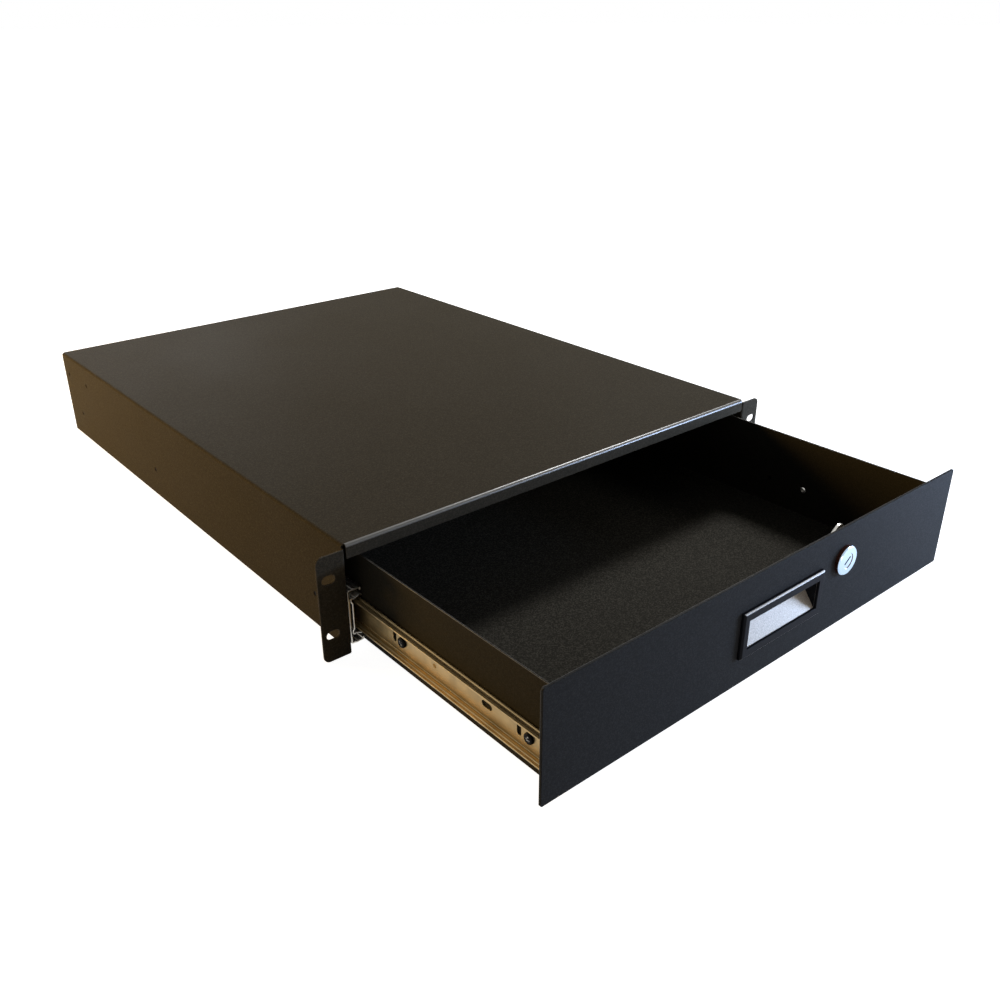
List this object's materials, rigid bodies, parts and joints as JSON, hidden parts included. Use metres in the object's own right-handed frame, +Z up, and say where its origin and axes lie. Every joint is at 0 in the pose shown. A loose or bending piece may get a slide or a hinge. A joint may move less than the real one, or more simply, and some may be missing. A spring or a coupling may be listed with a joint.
{
  "type": "sliding rack drawer",
  "caption": "Two-unit rack-mount drawer: folded sheet-metal case with ears, steel tray on telescopic ball-bearing slides, front panel with recessed pull and cam lock.",
  "frame": {"origin": "centre of the four rack slots, on the back face of the ears", "axes": "+X to the right seen from the front, +Y to the back of the rack, +Z up"},
  "size_m": [0.4826, 0.7734, 0.0878],
  "materials": {
    "case_powder_coat": "fine-textured black powder coat, satin",
    "tray_powder_coat": "coarser textured black powder coat",
    "panel_powder_coat": "smooth satin black powder coat",
    "zinc_plated_steel": "zinc-plated cold-rolled steel, drawn lengthwise",
    "cage_steel": "bright zinc",
    "ball_steel": "polished",
    "black_fasteners": "black zinc",
    "zinc_fasteners": "bright zinc",
    "bumper_rubber": "moulded, matt",
    "pull_plastic": "moulded, semi-gloss",
    "cup_coat": "fine silver-grey texture",
    "lock_chrome": "polished",
    "lock_steel": "bright zinc"
  },
  "bodies": {
    "case": {"case_shell": "case_powder_coat", "rear_panel": "case_powder_coat", "rear_panel_rivets": "black_fasteners", "lock_strike": "case_powder_coat", "left_outer_rail": "zinc_plated_steel", "right_outer_rail": "zinc_plated_steel", "outer_rail_screws": "black_fasteners", "rail_bumpers": "bumper_rubber"},
    "middle_rails": {"left_middle_rail": "zinc_plated_steel", "right_middle_rail": "zinc_plated_steel"},
    "outer_cages": {"left_outer_cage": "cage_steel", "right_outer_cage": "cage_steel", "outer_cage_balls": "ball_steel"},
    "inner_cages": {"left_inner_cage": "cage_steel", "right_inner_cage": "cage_steel", "inner_cage_balls": "ball_steel"},
    "drawer": {"left_inner_rail": "zinc_plated_steel", "right_inner_rail": "zinc_plated_steel", "inner_rail_screws": "black_fasteners", "tray_rivets": "black_fasteners", "drawer_tray": "tray_powder_coat", "front_panel": "panel_powder_coat", "panel_studs": "zinc_fasteners", "panel_nuts": "zinc_fasteners", "pull_bezel": "pull_plastic", "pull_cup": "cup_coat", "lock_body": "lock_chrome", "lock_nut": "lock_steel"},
    "lock": {"lock_plug": "lock_chrome", "lock_cam": "lock_steel", "cam_screw": "lock_steel"}
  },
  "joints": [
    {"name": "middle_slide", "type": "slide", "parent": "case", "child": "middle_rails", "axis": [0, -1, 0], "range_m": [0, 0.275]},
    {"name": "drawer_slide", "type": "slide", "parent": "middle_rails", "child": "drawer", "axis": [0, -1, 0], "range_m": [-0.202, 0.073]},
    {"name": "outer_cage_roll", "type": "slide", "parent": "case", "child": "outer_cages", "axis": [0, -1, 0], "range_m": [0, 0.1375]},
    {"name": "inner_cage_roll", "type": "slide", "parent": "middle_rails", "child": "inner_cages", "axis": [0, -1, 0], "range_m": [-0.101, 0.0365]},
    {"name": "lock_turn", "type": "hinge", "parent": "drawer", "child": "lock", "pos_m": [0.0727, -0.1911, 0.015], "axis": [0, -1, 0], "range_deg": [-38, 52]}
  ],
  "couplings": [
    {"joint": "outer_cage_roll", "follows": "middle_slide", "ratio": 0.5},
    {"joint": "inner_cage_roll", "follows": "drawer_slide", "ratio": 0.5}
  ]
}
